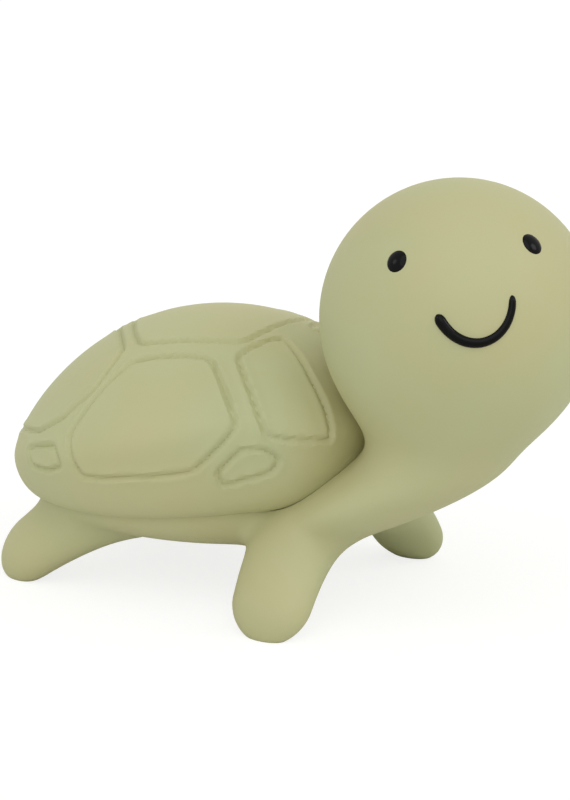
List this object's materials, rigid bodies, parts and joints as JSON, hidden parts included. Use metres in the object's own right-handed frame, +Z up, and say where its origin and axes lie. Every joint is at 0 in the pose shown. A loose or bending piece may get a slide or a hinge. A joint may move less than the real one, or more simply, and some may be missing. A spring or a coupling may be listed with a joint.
{
  "type": "toy turtle",
  "caption": "Hollow soft-rubber turtle toy with a domed scute-patterned shell, a big smiling head turned aside, stubby flippers to stand on and a loose rattle capsule inside.",
  "frame": {"origin": "on the ground under the middle of the toy's overall box", "axes": "+Z up, -Y towards the head, +X towards the turtle's left"},
  "size_m": [0.069, 0.1158, 0.08],
  "materials": {
    "shell_rubber": "matt moulded natural rubber, pale sage green",
    "skin_rubber": "matt moulded natural rubber, pale sage green",
    "face_paint": "gloss black rubber paint",
    "capsule_plastic": "satin moulded white",
    "bead_plastic": "gloss moulded amber"
  },
  "bodies": {
    "toy": {"carapace": "shell_rubber", "body_skin": "skin_rubber", "right_eye": "face_paint", "left_eye": "face_paint", "mouth": "face_paint"},
    "rattle": {"rattle_capsule_lower": "capsule_plastic", "rattle_capsule_upper": "capsule_plastic"},
    "bead_1": {"rattle_bead_1": "bead_plastic"},
    "bead_2": {"rattle_bead_2": "bead_plastic"},
    "bead_3": {"rattle_bead_3": "bead_plastic"},
    "bead_4": {"rattle_bead_4": "bead_plastic"},
    "bead_5": {"rattle_bead_5": "bead_plastic"},
    "bead_6": {"rattle_bead_6": "bead_plastic"}
  },
  "joints": [
    {"name": "rattle_slide", "type": "slide", "parent": "toy", "child": "rattle", "axis": [0, 1, 0], "range_m": [-0.011, 0.011]},
    {"name": "bead_1_hop", "type": "slide", "parent": "rattle", "child": "bead_1", "axis": [0, 0, 1], "range_m": [0, 0.0103]},
    {"name": "bead_2_hop", "type": "slide", "parent": "rattle", "child": "bead_2", "axis": [0, 0, 1], "range_m": [0, 0.0103]},
    {"name": "bead_3_hop", "type": "slide", "parent": "rattle", "child": "bead_3", "axis": [0, 0, 1], "range_m": [0, 0.0103]},
    {"name": "bead_4_hop", "type": "slide", "parent": "rattle", "child": "bead_4", "axis": [0, 0, 1], "range_m": [0, 0.0103]},
    {"name": "bead_5_hop", "type": "slide", "parent": "rattle", "child": "bead_5", "axis": [0, 0, 1], "range_m": [0, 0.0103]},
    {"name": "bead_6_hop", "type": "slide", "parent": "rattle", "child": "bead_6", "axis": [0, 0, 1], "range_m": [0, 0.0103]}
  ]
}
